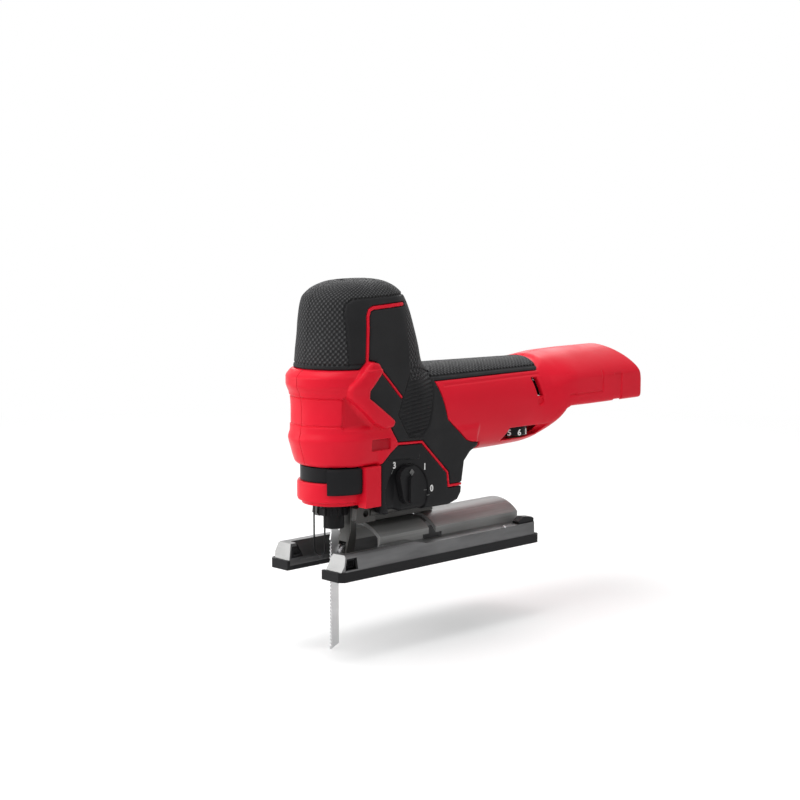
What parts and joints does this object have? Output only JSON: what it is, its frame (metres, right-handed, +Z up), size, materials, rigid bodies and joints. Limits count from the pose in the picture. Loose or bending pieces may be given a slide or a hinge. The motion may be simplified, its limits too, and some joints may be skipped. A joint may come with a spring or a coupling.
{
  "type": "barrel-grip cordless jigsaw",
  "caption": "Cordless jigsaw with a barrel grip, a tall head over the plunger, an orbit dial, a tilting two-rail shoe and a T-shank blade, without its battery.",
  "frame": {"origin": "where the blade line crosses the plane of the sole", "axes": "+X from the blade to the battery end, +Z up along the plunger, -Y to the tool's left side"},
  "size_m": [0.3226, 0.076, 0.2556],
  "materials": {
    "red_shell": "satin moulded glass-filled nylon, red",
    "rubber_grip": "matt moulded soft elastomer with fine scale texture",
    "black_plastic": "fine-grained moulded nylon",
    "steel": "ground and turned steel",
    "coated_wire": "steel wire with a black coat",
    "cast_zinc": "dark grey painted die casting",
    "shoe_metal": "satin anodised and brushed",
    "blade_steel": "bright milled blade steel",
    "bearing_steel": "polished bearing steel",
    "bronze": "sintered bronze",
    "laminations": "stacked steel sheets",
    "copper": "enamelled copper wire",
    "felt": "oiled felt",
    "board": "solder-masked circuit board",
    "potting": "aluminium tray filled with black compound"
  },
  "bodies": {
    "housing": {"housing_left": "red_shell", "housing_right": "red_shell", "grip_left": "rubber_grip", "grip_right": "rubber_grip", "side_cover_left": "black_plastic", "side_cover_right": "black_plastic", "front_guard": "red_shell", "nose_sleeve": "black_plastic", "wire_guard": "coated_wire", "saddle": "cast_zinc", "gear_frame": "cast_zinc", "upper_bush": "bronze", "lower_bush": "bronze", "plunger_seal": "felt", "roller_pivot": "steel", "front_bearing": "bearing_steel", "rear_bearing": "bearing_steel", "gear_bearing": "bearing_steel", "stator_core": "laminations", "stator_coils": "copper", "control_module": "potting", "switch_module": "black_plastic", "speed_sensor": "board", "terminal_block": "black_plastic", "housing_screws": "steel", "frame_screws": "steel", "bevel_screw": "steel", "clamp_plate": "cast_zinc"},
    "rotor": {"rotor_shaft": "steel", "rotor_core": "laminations", "fan": "black_plastic", "pinion": "steel"},
    "crank": {"drive_gear": "steel", "crank_roller": "bearing_steel"},
    "plunger": {"plunger_rod": "steel", "yoke": "cast_zinc", "clamp_body": "black_plastic", "blade": "blade_steel"},
    "collar": {"clamp_collar": "black_plastic"},
    "lever": {"release_lever": "black_plastic"},
    "dial": {"orbit_dial": "black_plastic", "orbit_cam": "steel"},
    "arm": {"roller_arm": "cast_zinc", "roller_pin": "steel"},
    "roller": {"guide_roller": "bearing_steel"},
    "speed": {"speed_dial": "black_plastic"},
    "switch": {"power_slider": "black_plastic"},
    "sole": {"shoe": "shoe_metal", "fence_bushes": "black_plastic", "shoe_cover": "black_plastic"}
  },
  "joints": [
    {"name": "crank_spin", "type": "hinge", "parent": "housing", "child": "crank", "pos_m": [0.0155, 0, 0.129], "axis": [1, 0, 0], "continuous": true},
    {"name": "rotor_spin", "type": "hinge", "parent": "housing", "child": "rotor", "pos_m": [0.07, 0, 0.105], "axis": [1, 0, 0], "continuous": true},
    {"name": "plunger_slide", "type": "slide", "parent": "housing", "child": "plunger", "axis": [0, 0, 1], "range_m": [0, 0.025]},
    {"name": "lever_turn", "type": "hinge", "parent": "housing", "child": "lever", "pos_m": [0, 0, 0.069], "axis": [0, 0, 1], "range_deg": [-60, 0], "stiffness_Nm_per_rad": 0.02},
    {"name": "collar_turn", "type": "hinge", "parent": "plunger", "child": "collar", "pos_m": [0, 0, 0.042], "axis": [0, 0, 1], "range_deg": [-60, 0]},
    {"name": "orbit_turn", "type": "hinge", "parent": "housing", "child": "dial", "pos_m": [0.04, -0.031, 0.052], "axis": [0, 1, 0], "range_deg": [-32, 90]},
    {"name": "arm_swing", "type": "hinge", "parent": "housing", "child": "arm", "pos_m": [0.02, 0, 0.062], "axis": [0, 1, 0], "range_deg": [-3, 0]},
    {"name": "roller_spin", "type": "hinge", "parent": "arm", "child": "roller", "pos_m": [0.0093, 0, 0.01], "axis": [0, 1, 0], "continuous": true},
    {"name": "speed_turn", "type": "hinge", "parent": "housing", "child": "speed", "pos_m": [0.163, -0.0146, 0.083], "axis": [0, 0, 1], "range_deg": [-150, 150]},
    {"name": "switch_slide", "type": "slide", "parent": "housing", "child": "switch", "axis": [1, 0, 0], "range_m": [-0.005, 0]},
    {"name": "bevel_tilt", "type": "hinge", "parent": "housing", "child": "sole", "pos_m": [0.07, 0, 0], "axis": [1, 0, 0], "range_deg": [-45, 45]}
  ],
  "couplings": [
    {"joint": "rotor_spin", "follows": "crank_spin", "ratio": -5},
    {"joint": "collar_turn", "follows": "lever_turn", "ratio": 1}
  ]
}
